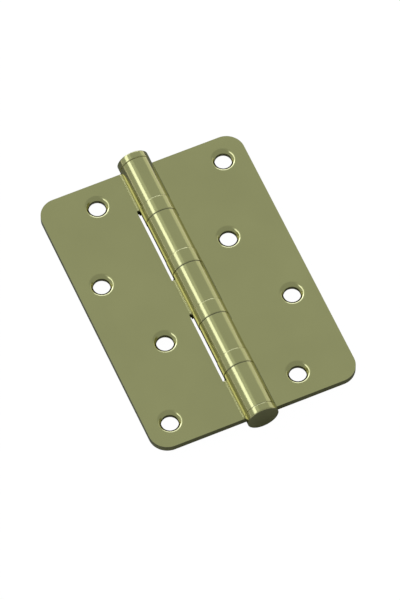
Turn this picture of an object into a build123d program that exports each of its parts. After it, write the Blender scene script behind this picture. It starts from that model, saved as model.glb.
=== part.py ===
from build123d import *
import math
import os

# Butt hinge with five knuckles and four ball bearings, lying open flat. Lengths are in mm.
# The Y axis is the pin axis, with the pin's head at +Y, and the origin is at mid-length.
# The countersunk faces look up. The door leaf lies at +X and the frame leaf at -X.

# Barrel, from the pin's head down
knuckle_1_length = 15.8
knuckle_2_length = 15.7
knuckle_3_length = 15.1
knuckle_4_length = 14.2
knuckle_5_length = 16.0
bearing_height = 5.8

# Leaves
sheet = 2.4
leaf_reach = 36.0
corner_radius = 6.3
closed_gap = 2.2
neck_bend_radius = 0.8
seam_gap = 0.12
frame_cutout_clearance = 0.7
door_cutout_clearance = 0.4
relief_length = 0.65

# Screw holes
hole_diameter = 5.75
countersink_diameter = 7.65
countersink_angle = 90
countersink_lip_radius = 1.15
hole_head_margin = 8.35
hole_pitch = 27.6
inner_row = 17.3
outer_row_margin = 8.35

# Pin and the button at its other end
pin_diameter = 5.9
bore_clearance = 0.05
head_height = 2.45
head_groove_width = 0.25
head_groove_depth = 0.4
tip_height = 2.7
tip_edge_radius = 0.25
spigot_length = 6.0
spigot_clearance = 0.02
pin_end_gap = 0.5
pin_end_chamfer = 0.5
end_edge_chamfer = 0.15

# Bearings
ball_diameter = 1.4
ball_count = 8
ball_clearance = 0.06
raceway_depth = 0.3
cage_wall = 0.2
cage_thickness = 0.56
pocket_clearance = 0.05
ring_gap = 0.1
skirt_wall = 0.45
skirt_lift = 0.25
casing_edge_radius = 0.25

# Worked out from the sizes above
knuckle_lengths = [
    knuckle_1_length,
    knuckle_2_length,
    knuckle_3_length,
    knuckle_4_length,
    knuckle_5_length,
]
bearing_count = len(knuckle_lengths) - 1
leaf_height = sum(knuckle_lengths) + bearing_count * bearing_height
barrel_top = leaf_height / 2
pin_radius = pin_diameter / 2
bore_radius = pin_radius + bore_clearance
barrel_radius = bore_radius + sheet
face_z = -closed_gap / 2

cage_inner = pin_radius + ring_gap
pocket_radius = ball_diameter / 2 + pocket_clearance
pitch_radius = cage_inner + cage_wall + pocket_radius
cage_outer = pitch_radius + pocket_radius + cage_wall
skirt_inner = cage_outer + ring_gap
bearing_radius = skirt_inner + skirt_wall
raceway_radius = ball_diameter / 2 + ball_clearance
race_height = bearing_height / 2 - (raceway_radius - raceway_depth)

outer_row = leaf_reach - outer_row_margin


def knuckle_span(number):
    """Lower and upper end of a knuckle along the pin."""
    top = barrel_top - sum(knuckle_lengths[:number - 1]) - (number - 1) * bearing_height
    return top - knuckle_lengths[number - 1], top


def bearing_bottom(number):
    """Lower end of a bearing, which rests on the knuckle below it."""
    return knuckle_span(number + 1)[1]


def rolled_section():
    """Section across the pin of a knuckle on the +X side.

    The sheet comes in along the leaf, dips under the pin in a bend that is tangent to the
    roll, goes once round the pin and stops at the seam, just above the leaf's upper face.
    """
    bend_z = face_z - sheet - neck_bend_radius
    bend_x = math.sqrt((barrel_radius + neck_bend_radius) ** 2 - bend_z ** 2)
    dip = math.degrees(math.atan2(bend_z, bend_x))
    seam_z = face_z + seam_gap
    seam_outer = math.degrees(math.asin(seam_z / barrel_radius))
    seam_bore = math.degrees(math.asin(seam_z / bore_radius))
    with BuildSketch(Plane.XZ) as section:
        with BuildLine():
            Line((barrel_radius, face_z), (bend_x, face_z))
            CenterArc((bend_x, bend_z), neck_bend_radius + sheet, 90, 90 + dip)
            bore = CenterArc((0, 0), bore_radius, dip, seam_bore - dip - 360)
            outside = CenterArc((0, 0), barrel_radius, dip, seam_outer - dip - 360)
            Line(bore @ 1, outside @ 1)
            CenterArc((bend_x, bend_z), neck_bend_radius, 90, 90 + dip)
            Line((bend_x, face_z - sheet), (barrel_radius, face_z - sheet))
            Line((barrel_radius, face_z - sheet), (barrel_radius, face_z))
        make_face()
    return section.sketch


def neck_span(number):
    """A neck is shorter than its knuckle by a relief, except at the leaf's own ends."""
    low, high = knuckle_span(number)
    if number < len(knuckle_lengths):
        low += relief_length
    if number > 1:
        high -= relief_length
    return low, high


def leaf_outline(numbers, clearance):
    """Flat of a leaf on the +X side with the necks that lead to its knuckles.

    Elsewhere its edge stays clear of the barrel by the clearance.
    """
    cutout_edge = max(barrel_radius, bearing_radius) + clearance
    with BuildSketch(Plane.XY.offset(face_z)) as outline:
        with Locations((cutout_edge, 0)):
            Rectangle(leaf_reach - cutout_edge, leaf_height, align=(Align.MIN, Align.CENTER))
        outer_corners = outline.vertices().group_by(Axis.X)[-1]
        fillet(outer_corners, radius=corner_radius)
        for number in numbers:
            low, high = neck_span(number)
            with Locations((barrel_radius, low)):
                Rectangle(cutout_edge - barrel_radius, high - low, align=(Align.MIN, Align.MIN))
    return outline.sketch


def hole_places(first_row, second_row):
    """Hole centres from the upper end down, in turn on the first and the second row."""
    top = leaf_height / 2 - hole_head_margin
    rows = [first_row, second_row] * 2
    return [(row, top - step * hole_pitch, face_z) for step, row in enumerate(rows)]


def leaf(numbers, first_row, second_row, clearance):
    """Leaf on the +X side, rolled into the knuckles with the given numbers."""
    with BuildPart() as part:
        extrude(leaf_outline(numbers, clearance), amount=-sheet)
        for number in numbers:
            low, high = knuckle_span(number)
            extrude(Pos(0, high, 0) * rolled_section(), amount=high - low)
        with Locations(*hole_places(first_row, second_row)):
            CounterSinkHole(
                radius=hole_diameter / 2,
                counter_sink_radius=countersink_diameter / 2,
                depth=sheet,
                counter_sink_angle=countersink_angle,
            )
        rims = part.edges(Select.LAST).filter_by(GeomType.CIRCLE).group_by(Axis.Z)[-1]
        fillet(rims, radius=countersink_lip_radius)
    return part.part


def frame_leaf():
    """Leaf on the -X side with knuckles 1, 3 and 5, its rows the other way round."""
    return leaf([1, 3, 5], inner_row, outer_row, frame_cutout_clearance).mirror(Plane.YZ)


def door_leaf():
    return leaf([2, 4], outer_row, inner_row, door_cutout_clearance)


def hinge_pin():
    """Rod and flat head, with a groove between the head and the first knuckle."""
    rod_end = -barrel_top + spigot_length + pin_end_gap
    head_base = barrel_top + head_groove_width
    head_top = head_base + head_height
    with BuildPart() as part:
        with BuildSketch():
            with BuildLine():
                Polyline(
                    (0, rod_end),
                    (pin_radius - pin_end_chamfer, rod_end),
                    (pin_radius, rod_end + pin_end_chamfer),
                    (pin_radius, barrel_top),
                    (barrel_radius - head_groove_depth, barrel_top),
                    (barrel_radius - head_groove_depth, head_base),
                    (barrel_radius, head_base),
                    (barrel_radius, head_top - end_edge_chamfer),
                    (barrel_radius - end_edge_chamfer, head_top),
                    (0, head_top),
                    (0, rod_end),
                )
            make_face()
        revolve(axis=Axis.Y)
    return part.part


def bottom_tip():
    """Flat button with a spigot that is driven into the last knuckle's bore."""
    face = -barrel_top
    end = face - tip_height
    spigot_radius = bore_radius - spigot_clearance
    spigot_top = face + spigot_length
    with BuildPart() as part:
        with BuildSketch():
            with BuildLine():
                Polyline(
                    (barrel_radius, face - tip_edge_radius),
                    (barrel_radius, end + end_edge_chamfer),
                    (barrel_radius - end_edge_chamfer, end),
                    (0, end),
                    (0, spigot_top),
                    (spigot_radius - pin_end_chamfer, spigot_top),
                    (spigot_radius, spigot_top - pin_end_chamfer),
                    (spigot_radius, face),
                    (barrel_radius - tip_edge_radius, face),
                )
                CenterArc(
                    (barrel_radius - tip_edge_radius, face - tip_edge_radius),
                    tip_edge_radius, 90, -90,
                )
            make_face()
        revolve(axis=Axis.Y)
    return part.part


def bearing_casing(number):
    """Upper race with its raceway, and the skirt that shuts the bearing in."""
    bottom = bearing_bottom(number)
    top = bottom + bearing_height
    with BuildPart() as part:
        with BuildSketch():
            with BuildLine():
                Polyline(
                    (bore_radius, top),
                    (bore_radius, top - race_height),
                    (skirt_inner, top - race_height),
                    (skirt_inner, bottom + skirt_lift),
                    (bearing_radius, bottom + skirt_lift),
                    (bearing_radius, top - casing_edge_radius),
                )
                CenterArc(
                    (bearing_radius - casing_edge_radius, top - casing_edge_radius),
                    casing_edge_radius, 0, 90,
                )
                Line((bearing_radius - casing_edge_radius, top), (bore_radius, top))
            make_face()
            with Locations((pitch_radius, bottom + bearing_height / 2)):
                Circle(raceway_radius, mode=Mode.SUBTRACT)
        revolve(axis=Axis.Y)
    return part.part


def bearing_race(number):
    """Lower race, a ring inside the skirt that rests on the knuckle below."""
    bottom = bearing_bottom(number)
    with BuildPart() as part:
        with BuildSketch():
            with Locations((bore_radius, bottom)):
                Rectangle(cage_outer - bore_radius, race_height, align=(Align.MIN, Align.MIN))
            with Locations((pitch_radius, bottom + bearing_height / 2)):
                Circle(raceway_radius, mode=Mode.SUBTRACT)
        revolve(axis=Axis.Y)
    return part.part


def ball_plane(number):
    """Plane across the pin through the centres of a bearing's balls."""
    return Plane.XZ.offset(-bearing_bottom(number) - bearing_height / 2)


def bearing_cage(number):
    """Flat ring with a pocket for each ball."""
    with BuildPart() as part:
        with BuildSketch(ball_plane(number)):
            Circle(cage_outer)
            Circle(cage_inner, mode=Mode.SUBTRACT)
            with PolarLocations(pitch_radius, ball_count):
                Circle(pocket_radius, mode=Mode.SUBTRACT)
        extrude(amount=cage_thickness / 2, both=True)
    return part.part


def bearing_balls(number):
    """The set of balls, each a solid of its own."""
    with BuildPart(ball_plane(number)) as part:
        with PolarLocations(pitch_radius, ball_count):
            Sphere(ball_diameter / 2)
    return part.part


def sub_parts():
    """Each sub-part's name and the function that makes it."""
    parts = {
        "frame_leaf": frame_leaf(),
        "door_leaf": door_leaf(),
        "hinge_pin": hinge_pin(),
        "bottom_tip": bottom_tip(),
    }
    for number in range(1, bearing_count + 1):
        parts[f"bearing_{number}_casing"] = bearing_casing(number)
        parts[f"bearing_{number}_race"] = bearing_race(number)
        parts[f"bearing_{number}_cage"] = bearing_cage(number)
        parts[f"bearing_{number}_balls"] = bearing_balls(number)
    return parts


os.makedirs("parts", exist_ok=True)
for name, solid in sub_parts().items():
    export_step(solid, f"parts/{name}.step")
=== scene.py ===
import math

import bpy
from bpy.props import FloatProperty, FloatVectorProperty, PointerProperty
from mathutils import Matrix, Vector


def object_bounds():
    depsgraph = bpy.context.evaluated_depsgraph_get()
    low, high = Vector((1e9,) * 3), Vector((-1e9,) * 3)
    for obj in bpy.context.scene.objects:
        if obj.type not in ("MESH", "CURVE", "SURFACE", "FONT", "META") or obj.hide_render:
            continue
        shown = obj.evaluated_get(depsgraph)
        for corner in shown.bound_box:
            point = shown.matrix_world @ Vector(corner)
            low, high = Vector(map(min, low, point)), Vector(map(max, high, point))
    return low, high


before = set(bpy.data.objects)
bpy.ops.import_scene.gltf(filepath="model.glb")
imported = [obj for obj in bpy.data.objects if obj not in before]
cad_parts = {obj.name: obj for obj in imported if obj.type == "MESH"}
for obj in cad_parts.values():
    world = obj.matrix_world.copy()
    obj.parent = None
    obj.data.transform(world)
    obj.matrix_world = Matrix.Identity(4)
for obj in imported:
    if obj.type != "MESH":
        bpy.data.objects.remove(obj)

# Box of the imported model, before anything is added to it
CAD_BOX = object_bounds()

bl_info = {
    "name": "Butt hinge finish",
    "version": (1, 0, 0),
    "blender": (4, 5, 0),
    "location": "3D Viewport > Sidebar > Hinge",
    "description": "Finishes a ball-bearing butt hinge and lights it on a pale floor",
    "category": "Object",
}

BEARINGS = (1, 2, 3, 4)

# Range in which most of a noise lies, and where a patch of rubbing or smudging begins in it
NOISE_LOW = 0.3
NOISE_HIGH = 0.7
PATCH_LOW = 0.35

# Noise scales, in patches a metre
PLATING_CLOUDS = 45
PLATING_SMUDGES = 90
RUBBED_PATCHES = 260
STEEL_CLOUDS = 300
STEEL_HAZE = 900
NYLON_CLOUDS = 400
NYLON_GLOSS = 1500
NYLON_PEEL = 2500
FINE_DETAIL = 5

# Darkest and lightest share of each colour
PLATING_TONES = (0.97, 1.03)
STEEL_TONES = (0.94, 1.04)
NYLON_TONES = (0.93, 1.03)

# Roughness of the bare steel and the nylon, and how far the plating's own drifts
STEEL_ROUGHNESS = (0.1, 0.2)
NYLON_ROUGHNESS = (0.4, 0.55)
GRAIN_DRIFT = (-0.02, 0.03)
SMUDGE_DRIFT = (-0.01, 0.02)

# Least and greatest share of the worn colour along an edge, and how squarely a rounded
# normal still faces with the plain one where the wear begins and where it is full
RUBBED_SHARES = (0.1, 0.6)
EDGE_TILTS = (0.995, 0.8)

# Strength of each relief
GRAIN_STRENGTH = 0.06
PEEL_STRENGTH = 0.2

# A Mix node's two values and its result, by number, because several sockets share a name
MIX_SOCKETS = {"RGBA": (6, 7, 2), "VECTOR": (4, 5, 1)}

# How squarely a direction points up the pin, where the surroundings begin and end to turn paler
NEAR_TO_FAR = (0.1, 0.4)

# From the hinge to the low lamp: up the pin, a little to the right and above
BACK_WAY = Vector((0.1, 0.94, 0.31))


def colour(name, description, default):
    return FloatVectorProperty(
        name=name, description=description, subtype="COLOR", size=3, min=0, max=2, default=default,
    )


def length(name, description, default):
    return FloatProperty(
        name=name, description=description, subtype="DISTANCE", unit="LENGTH", default=default,
    )


def angle(name, description, degrees):
    return FloatProperty(
        name=name, description=description, subtype="ANGLE", unit="ROTATION",
        default=math.radians(degrees),
    )


def level(name, description, default):
    return FloatProperty(name=name, description=description, min=0, default=default)


class HingeFinish(bpy.types.PropertyGroup):
    """Colours and surface sizes of the hinge's finishes."""

    plate_colour: colour("Plating colour", "Brass-tone plating", (0.53, 0.5, 0.25))
    worn_colour: colour("Worn colour", "Plating where edges have been rubbed thin", (0.61, 0.57, 0.38))
    steel_colour: colour("Steel colour", "Bare bearing steel", (0.56, 0.57, 0.58))
    nylon_colour: colour("Nylon colour", "Moulded ball cages", (0.78, 0.76, 0.7))
    plate_roughness: level("Plating roughness", "How satin the plating is", 0.15)
    grain_width: length("Grain width", "One line of the rolled grain, or one turning mark", 0.00015)
    grain_length: length("Grain length", "Length of one line of the rolled grain", 0.008)
    grain_height: length("Grain height", "Relief of the grain", 0.00002)
    peel_height: length("Peel height", "Relief of the nylon's orange peel", 0.00003)
    edge_wear: length("Edge wear", "Width of the rubbed line along an edge", 0.0002)
    turned_edge: length("Turned edge", "How far in from a turned edge its polished round reaches", 0.0006)
    roll_round: length("Roll round", "Reach of the soft round between a leaf and its knuckles", 0.0011)
    roll_foot: length("Roll foot", "Where that round ends on the leaf, from the pin's middle", 0.00585)
    roll_top: length("Roll top", "Height at which it ends on the knuckle, from the pin's middle", -0.0004)
    roll_low: length("Roll low", "Height below which there is none", -0.00125)


class HingeStage(bpy.types.PropertyGroup):
    """The view, the light levels and the sizes of the lamps."""

    azimuth: angle("Azimuth", "Camera's turn about the hinge, from straight below its lower end", -23.76)
    elevation: angle("Elevation", "Camera's height above the horizon", 59.99)
    distance: length("Distance", "From the camera to the point it looks at", 2.206)
    lens: level("Lens", "Focal length in millimetres", 408.6)
    aim_right: length("Aim right", "How far right of the hinge's middle the camera looks", 0.00092)
    aim_up: length("Aim up", "How far above the hinge's middle the camera looks", -0.00395)

    surroundings: level("Surroundings", "Strength of the even pale light beyond the pin's head", 0.532)
    near_side: level("Near side", "Strength of that light overhead and on the camera's side", 0.42)
    tint: colour("Tint", "Colour of that light and of the edge strip", (0.9, 1.0, 0.92))

    strip_distance: length("Strip distance", "From the pin to the lamps that lie along it", 1.1)
    strip_length: length("Strip length", "Length of the lamps that lie along the pin", 3.2)
    strip_middle: length("Strip middle", "Their middle, from the hinge's middle out past the pin's head", 1.5)
    key: level("Key", "Radiance of the strip that draws the bright line along the barrel", 1.53)
    key_turn: angle("Key turn", "Its turn about the pin from straight above", -43.3)
    key_width: length("Key width", "Its width", 0.4)
    key_colour: colour("Key colour", "Its colour", (0.925, 1.0, 1.134))
    edge: level("Edge", "Radiance of the softer strip beside the key", 0.228)
    edge_turn: angle("Edge turn", "Its turn about the pin from straight above", -21)
    edge_width: length("Edge width", "Its width", 0.34)
    side: level("Side", "Radiance of the low strip beside the door leaf", 0.32)
    side_turn: angle("Side turn", "Its turn about the pin from straight above", 83)
    side_width: length("Side width", "Its width", 0.66)
    side_colour: colour("Side colour", "Its colour", (0.98, 1.0, 0.89))
    back: level("Back", "Radiance of the low lamp beyond the pin's head", 1.65)
    back_colour: colour("Back colour", "Its colour", (0.92, 1.0, 1.3))
    back_distance: length("Back distance", "From the hinge to that lamp", 1.5)
    back_width: length("Back width", "Its width", 1.9)
    back_height: length("Back height", "Its height", 0.75)

    floor_size: length("Floor size", "Width of the floor", 20)
    floor_colour: level("Floor colour", "Grey of the floor at a distance, as a light falls on it", 0.9)
    # Painted shade: a darker grey patch of floor under and around the hinge, seen only in the metal's
    # reflections
    painted_shade_grey: level("Under colour", "Grey of the floor under and just around the hinge", 0.28)
    painted_shade_offset: length("Under offset", "Middle of the darker floor, right of the hinge's middle", -0.045)
    painted_shade_reach: length("Under reach", "Radius of the darker floor", 0.115)
    painted_shade_fade: length("Under fade", "Width over which it fades into the rest", 0.03)
    floor_glow: level("Floor glow", "Strength of the plain white that the camera sees", 1.1)
    glow_share: level("Glow share", "Share of that white in view; the rest is the lit floor", 0.9)


def sock(node, name, value):
    """Sets a value on a node's own socket."""
    node.inputs[name].default_value = value


class Tree:
    """Adds nodes to a material or a world and joins them."""

    def __init__(self, owner):
        self.owner = owner
        owner.use_nodes = True
        self.nodes = owner.node_tree.nodes
        self.nodes.clear()

    def add(self, kind, **settings):
        node = self.nodes.new(kind)
        for name, value in settings.items():
            setattr(node, name, value)
        return node

    def join(self, source, target):
        self.owner.node_tree.links.new(source, target)

    def feed(self, value, target):
        """Joins a socket, or sets a plain value."""
        if isinstance(value, bpy.types.NodeSocket):
            self.join(value, target)
        else:
            target.default_value = value

    def math(self, operation, *values):
        """A Math node's result, from sockets or plain numbers."""
        node = self.add("ShaderNodeMath", operation=operation)
        for slot, value in enumerate(values):
            self.feed(value, node.inputs[slot])
        return node.outputs["Value"]

    def span(self, value, ends, results):
        """Carries a value from one range to another, held at its ends."""
        node = self.add("ShaderNodeMapRange")
        self.join(value, node.inputs["Value"])
        sock(node, "From Min", ends[0])
        sock(node, "From Max", ends[1])
        sock(node, "To Min", results[0])
        sock(node, "To Max", results[1])
        return node.outputs["Result"]

    def noise(self, place, scale, detail=3.0):
        node = self.add("ShaderNodeTexNoise")
        self.join(place, node.inputs["Vector"])
        sock(node, "Scale", scale)
        sock(node, "Detail", detail)
        return node.outputs["Fac"]

    def spread(self, noise, results):
        """Carries the range in which most of a noise lies to another."""
        return self.span(noise, (NOISE_LOW, NOISE_HIGH), results)

    def patches(self, noise, results):
        """As spread, with more of the surface left plain."""
        return self.span(noise, (PATCH_LOW, NOISE_HIGH), results)

    def stretched(self, place, sizes):
        """Coordinates in which a patch of the given sizes has unit size."""
        node = self.add("ShaderNodeMapping")
        self.join(place, node.inputs["Vector"])
        sock(node, "Scale", [1 / size for size in sizes])
        return node.outputs["Vector"]

    def parts(self, vector):
        """A vector's X, Y and Z."""
        node = self.add("ShaderNodeSeparateXYZ")
        self.join(vector, node.inputs["Vector"])
        return node.outputs

    def mix(self, kind, share, first, second):
        """Mixes two colours or two vectors."""
        node = self.add("ShaderNodeMix", data_type=kind)
        first_slot, second_slot, result = MIX_SOCKETS[kind]
        self.join(share, node.inputs["Factor"])
        self.feed(first, node.inputs[first_slot])
        self.feed(second, node.inputs[second_slot])
        return node.outputs[result]

    def tones(self, share, tone, limits):
        """A colour that drifts between a darker and a lighter share of itself."""
        darkest, lightest = [(*(channel * limit for channel in tone), 1) for limit in limits]
        return self.mix("RGBA", share, darkest, lightest)

    def rounded(self, radius):
        """Normal over edges that are rounded by a small radius."""
        bevel = self.add("ShaderNodeBevel", samples=8)
        sock(bevel, "Radius", radius)
        return bevel.outputs["Normal"]

    def plain_normal(self):
        return self.add("ShaderNodeNewGeometry").outputs["Normal"]

    def bump(self, height, strength, distance, shader, normal=None):
        """Relief from a height, on a shader."""
        node = self.add("ShaderNodeBump")
        if normal:
            self.join(normal, node.inputs["Normal"])
        sock(node, "Strength", strength)
        sock(node, "Distance", distance)
        self.join(height, node.inputs["Height"])
        self.join(node.outputs["Normal"], shader.inputs["Normal"])

    def object_place(self):
        return self.add("ShaderNodeTexCoord").outputs["Object"]

    def edge_share(self, width):
        """How near a point is to an edge, from 0 to 1, by how much a small round would tilt it."""
        bevel = self.add("ShaderNodeBevel", samples=6)
        sock(bevel, "Radius", width)
        dot = self.add("ShaderNodeVectorMath", operation="DOT_PRODUCT")
        self.join(bevel.outputs["Normal"], dot.inputs[0])
        self.join(self.plain_normal(), dot.inputs[1])
        return self.span(dot.outputs["Value"], EDGE_TILTS, (0.0, 1.0))


def surface(name):
    """A new material's tree and its shader."""
    tree = Tree(bpy.data.materials.new(name))
    shader = tree.add("ShaderNodeBsdfPrincipled")
    output = tree.add("ShaderNodeOutputMaterial")
    tree.join(shader.outputs["BSDF"], output.inputs["Surface"])
    return tree, shader


def dress_plating(tree, shader, place, grain, normal, finish):
    """Colour, gloss and relief of the plating over a grain of marks."""
    cloud = tree.spread(tree.noise(place, PLATING_CLOUDS), (0.0, 1.0))
    tone = tree.tones(cloud, finish.plate_colour, PLATING_TONES)
    patches = tree.patches(tree.noise(place, RUBBED_PATCHES), RUBBED_SHARES)
    rubbed = tree.math("MULTIPLY", tree.edge_share(finish.edge_wear), patches)
    worn = tree.mix("RGBA", rubbed, tone, (*finish.worn_colour, 1))
    tree.join(worn, shader.inputs["Base Color"])
    satin = tree.spread(grain, [finish.plate_roughness + drift for drift in GRAIN_DRIFT])
    smudge = tree.patches(tree.noise(place, PLATING_SMUDGES, FINE_DETAIL), SMUDGE_DRIFT)
    tree.join(tree.math("ADD", satin, smudge), shader.inputs["Roughness"])
    tree.bump(grain, GRAIN_STRENGTH, finish.grain_height, shader, normal)
    sock(shader, "Metallic", 1.0)


def beside_knuckles(tree, place, finish):
    """1 where a leaf meets the roll of its knuckles, on its upper side, and 0 elsewhere."""
    parts = tree.parts(place)
    near = tree.math("LESS_THAN", tree.math("ABSOLUTE", parts["X"]), finish.roll_foot)
    low = tree.math("LESS_THAN", parts["Z"], finish.roll_top)
    high = tree.math("GREATER_THAN", parts["Z"], finish.roll_low)
    return tree.math("MULTIPLY", tree.math("MULTIPLY", near, low), high)


def sheet_plating(finish):
    """Satin plating over sheet whose rolled grain runs along the pin."""
    tree, shader = surface("sheet_plating")
    place = tree.object_place()
    line = (finish.grain_width, finish.grain_length, finish.grain_width)
    grain = tree.noise(tree.stretched(place, line), 1.0)
    share = beside_knuckles(tree, place, finish)
    normal = tree.mix("VECTOR", share, tree.plain_normal(), tree.rounded(finish.roll_round))
    dress_plating(tree, shader, place, grain, normal, finish)
    return tree.owner


def turned_plating(finish):
    """Satin plating over turned steel, whose marks run round the pin."""
    tree, shader = surface("turned_plating")
    place = tree.object_place()
    parts = tree.parts(place)
    across = tree.math("POWER", parts["X"], 2.0)
    upward = tree.math("POWER", parts["Z"], 2.0)
    marks = tree.add("ShaderNodeCombineXYZ")
    tree.join(tree.math("SQRT", tree.math("ADD", across, upward)), marks.inputs["X"])
    tree.join(parts["Y"], marks.inputs["Y"])
    grain = tree.noise(marks.outputs["Vector"], 1 / finish.grain_width)
    dress_plating(tree, shader, place, grain, tree.rounded(finish.turned_edge), finish)
    return tree.owner


def bearing_steel(finish):
    """Ground and polished steel."""
    tree, shader = surface("bearing_steel")
    place = tree.object_place()
    tone = tree.tones(tree.noise(place, STEEL_CLOUDS), finish.steel_colour, STEEL_TONES)
    tree.join(tone, shader.inputs["Base Color"])
    haze = tree.spread(tree.noise(place, STEEL_HAZE, FINE_DETAIL), STEEL_ROUGHNESS)
    tree.join(haze, shader.inputs["Roughness"])
    sock(shader, "Metallic", 1.0)
    return tree.owner


def cage_nylon(finish):
    """Moulded nylon with a faint orange peel."""
    tree, shader = surface("cage_nylon")
    place = tree.object_place()
    tone = tree.tones(tree.noise(place, NYLON_CLOUDS), finish.nylon_colour, NYLON_TONES)
    tree.join(tone, shader.inputs["Base Color"])
    gloss = tree.spread(tree.noise(place, NYLON_GLOSS), NYLON_ROUGHNESS)
    tree.join(gloss, shader.inputs["Roughness"])
    tree.bump(tree.noise(place, NYLON_PEEL), PEEL_STRENGTH, finish.peel_height, shader)
    return tree.owner


def paint(node, material):
    """Puts a material in every slot of a CAD node."""
    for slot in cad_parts[node].material_slots:
        slot.material = material


class HINGE_OT_leaves(bpy.types.Operator):
    """Finish the two leaves"""

    bl_idname = "hinge.leaves"
    bl_label = "Leaves"

    def execute(self, context):
        material = sheet_plating(context.scene.hinge_finish)
        paint("frame_leaf", material)
        paint("door_leaf", material)
        return {"FINISHED"}


class HINGE_OT_turned_parts(bpy.types.Operator):
    """Finish the pin, the button at its other end and the bearing casings"""

    bl_idname = "hinge.turned_parts"
    bl_label = "Turned parts"

    def execute(self, context):
        material = turned_plating(context.scene.hinge_finish)
        paint("hinge_pin", material)
        paint("bottom_tip", material)
        for number in BEARINGS:
            paint(f"bearing_{number}_casing", material)
        return {"FINISHED"}


class HINGE_OT_bearings(bpy.types.Operator):
    """Finish the races, balls and cages inside the bearings"""

    bl_idname = "hinge.bearings"
    bl_label = "Bearings"

    def execute(self, context):
        finish = context.scene.hinge_finish
        steel = bearing_steel(finish)
        nylon = cage_nylon(finish)
        for number in BEARINGS:
            paint(f"bearing_{number}_race", steel)
            paint(f"bearing_{number}_balls", steel)
            paint(f"bearing_{number}_cage", nylon)
        return {"FINISHED"}


def soft_lamp(name, place, aim, width, height, radiance, tone):
    """Rectangular lamp that faces a point, as bright whatever its size."""
    data = bpy.data.lights.new(name, "AREA")
    data.shape = "RECTANGLE"
    data.size = width
    data.size_y = height
    data.energy = radiance * math.pi * width * height
    data.color = tone
    lamp = bpy.data.objects.new(name, data)
    bpy.context.scene.collection.objects.link(lamp)
    lamp.location = place
    lamp.rotation_mode = "QUATERNION"
    lamp.rotation_quaternion = (place - aim).to_track_quat("Z", "Y")


def strip_lamp(name, turn, width, radiance, tone, stage):
    """Lamp parallel to the pin, turned about it from straight above."""
    aim = Vector((0, stage.strip_middle, 0))
    place = aim + Vector((math.sin(turn), 0, math.cos(turn))) * stage.strip_distance
    soft_lamp(name, place, aim, stage.strip_length, width, radiance, tone)


def back_lamp(stage):
    """Low lamp beyond the pin's head, which lights the edges that face it."""
    place = BACK_WAY * stage.back_distance
    soft_lamp("back", place, Vector(), stage.back_width, stage.back_height, stage.back, stage.back_colour)


def pale_world(stage):
    """Pale surroundings, a little darker overhead and on the camera's side."""
    world = bpy.data.worlds.new("surroundings")
    bpy.context.scene.world = world
    tree = Tree(world)
    way = tree.parts(tree.add("ShaderNodeTexCoord").outputs["Generated"])
    light = tree.add("ShaderNodeBackground")
    sock(light, "Color", (*stage.tint, 1))
    strength = tree.span(way["Y"], NEAR_TO_FAR, (stage.near_side, stage.surroundings))
    tree.join(strength, light.inputs["Strength"])
    output = tree.add("ShaderNodeOutputWorld")
    tree.join(light.outputs["Background"], output.inputs["Surface"])


def floor_white(stage):
    """White to the camera, and to metal that shows the floor at a distance.

    Close round the hinge the floor is painted a darker grey, a painted shade that the camera never sees and
    that the metal's lower flanks and end faces show.
    A share of the lit floor stays in view, and with it the hinge's shadow.
    """
    tree = Tree(bpy.data.materials.new("floor_white"))
    # Painted shade: within this reach of the hinge the floor is a darker grey
    reach = tree.add("ShaderNodeVectorMath", operation="DISTANCE")
    tree.join(tree.object_place(), reach.inputs[0])
    reach.inputs[1].default_value = (stage.painted_shade_offset, 0, 0)
    fade = (stage.painted_shade_reach, stage.painted_shade_reach + stage.painted_shade_fade)
    far = tree.span(reach.outputs["Value"], fade, (0.0, 1.0))
    diffuse = tree.add("ShaderNodeBsdfDiffuse")
    grey = tree.span(far, (0.0, 1.0), (stage.painted_shade_grey, stage.floor_colour))
    tree.join(grey, diffuse.inputs["Color"])
    glow = tree.add("ShaderNodeEmission")
    sock(glow, "Strength", stage.floor_glow)
    rays = tree.add("ShaderNodeLightPath").outputs
    # Metal sees the white glow only beyond the patch of painted shade
    in_metal = tree.math("MULTIPLY", rays["Is Glossy Ray"], far)
    through = tree.math("ADD", rays["Is Camera Ray"], rays["Is Transmission Ray"])
    in_view = tree.math("ADD", through, in_metal)
    mix = tree.add("ShaderNodeMixShader")
    tree.join(tree.math("MULTIPLY", in_view, stage.glow_share), mix.inputs["Fac"])
    tree.join(diffuse.outputs["BSDF"], mix.inputs[1])
    tree.join(glow.outputs["Emission"], mix.inputs[2])
    output = tree.add("ShaderNodeOutputMaterial")
    tree.join(mix.outputs["Shader"], output.inputs["Surface"])
    return tree.owner


def pale_floor(stage):
    bpy.ops.object.select_all(action="DESELECT")
    bpy.ops.mesh.primitive_plane_add(size=stage.floor_size, location=(0, 0, CAD_BOX[0].z))
    floor = bpy.context.object
    floor.name = "floor"
    floor.data.materials.append(floor_white(stage))


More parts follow.
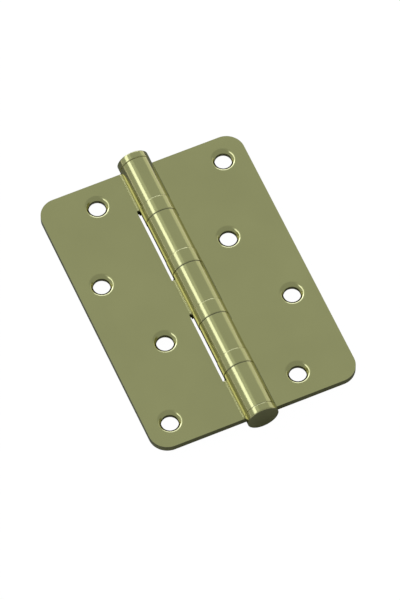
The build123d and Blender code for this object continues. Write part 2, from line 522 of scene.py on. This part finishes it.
def photo_camera(stage):
    """Camera at the photograph's angle."""
    data = bpy.data.cameras.new("camera")
    data.sensor_width = 36
    data.lens = stage.lens
    camera = bpy.data.objects.new("camera", data)
    bpy.context.scene.collection.objects.link(camera)
    azimuth, elevation = stage.azimuth, stage.elevation
    back = Vector((
        math.sin(azimuth) * math.cos(elevation),
        -math.cos(azimuth) * math.cos(elevation),
        math.sin(elevation),
    ))
    right = Vector((math.cos(azimuth), math.sin(azimuth), 0))
    aim = right * stage.aim_right + back.cross(right) * stage.aim_up
    camera.location = aim + back * stage.distance
    camera.rotation_mode = "QUATERNION"
    camera.rotation_quaternion = back.to_track_quat("Z", "Y")
    data.clip_start = 0.01
    data.clip_end = 100
    bpy.context.scene.camera = camera


class HINGE_OT_stage(bpy.types.Operator):
    """Build the floor, the lamps and the camera"""

    bl_idname = "hinge.stage"
    bl_label = "Stage"

    def execute(self, context):
        stage = context.scene.hinge_stage
        context.scene.view_settings.view_transform = "Standard"
        photo_camera(stage)
        pale_world(stage)
        pale_floor(stage)
        strip_lamp("key", stage.key_turn, stage.key_width, stage.key, stage.key_colour, stage)
        strip_lamp("edge", stage.edge_turn, stage.edge_width, stage.edge, stage.tint, stage)
        strip_lamp("side", stage.side_turn, stage.side_width, stage.side, stage.side_colour, stage)
        back_lamp(stage)
        return {"FINISHED"}


class HINGE_PT_panel(bpy.types.Panel):
    """Lists the hinge's operators in the sidebar."""

    bl_idname = "HINGE_PT_panel"
    bl_label = "Hinge"
    bl_space_type = "VIEW_3D"
    bl_region_type = "UI"
    bl_category = "Hinge"

    def draw(self, context):
        for operator in OPERATORS:
            self.layout.operator(operator.bl_idname)


OPERATORS = (HINGE_OT_leaves, HINGE_OT_turned_parts, HINGE_OT_bearings, HINGE_OT_stage)
CLASSES = (HingeFinish, HingeStage, *OPERATORS, HINGE_PT_panel)


def register():
    for item in CLASSES:
        bpy.utils.register_class(item)
    bpy.types.Scene.hinge_finish = PointerProperty(type=HingeFinish)
    bpy.types.Scene.hinge_stage = PointerProperty(type=HingeStage)


def unregister():
    del bpy.types.Scene.hinge_stage
    del bpy.types.Scene.hinge_finish
    for item in reversed(CLASSES):
        bpy.utils.unregister_class(item)


def main():
    register()
    bpy.ops.hinge.leaves()
    bpy.ops.hinge.turned_parts()
    bpy.ops.hinge.bearings()
    bpy.ops.hinge.stage()


if __name__ == "__main__":
    main()
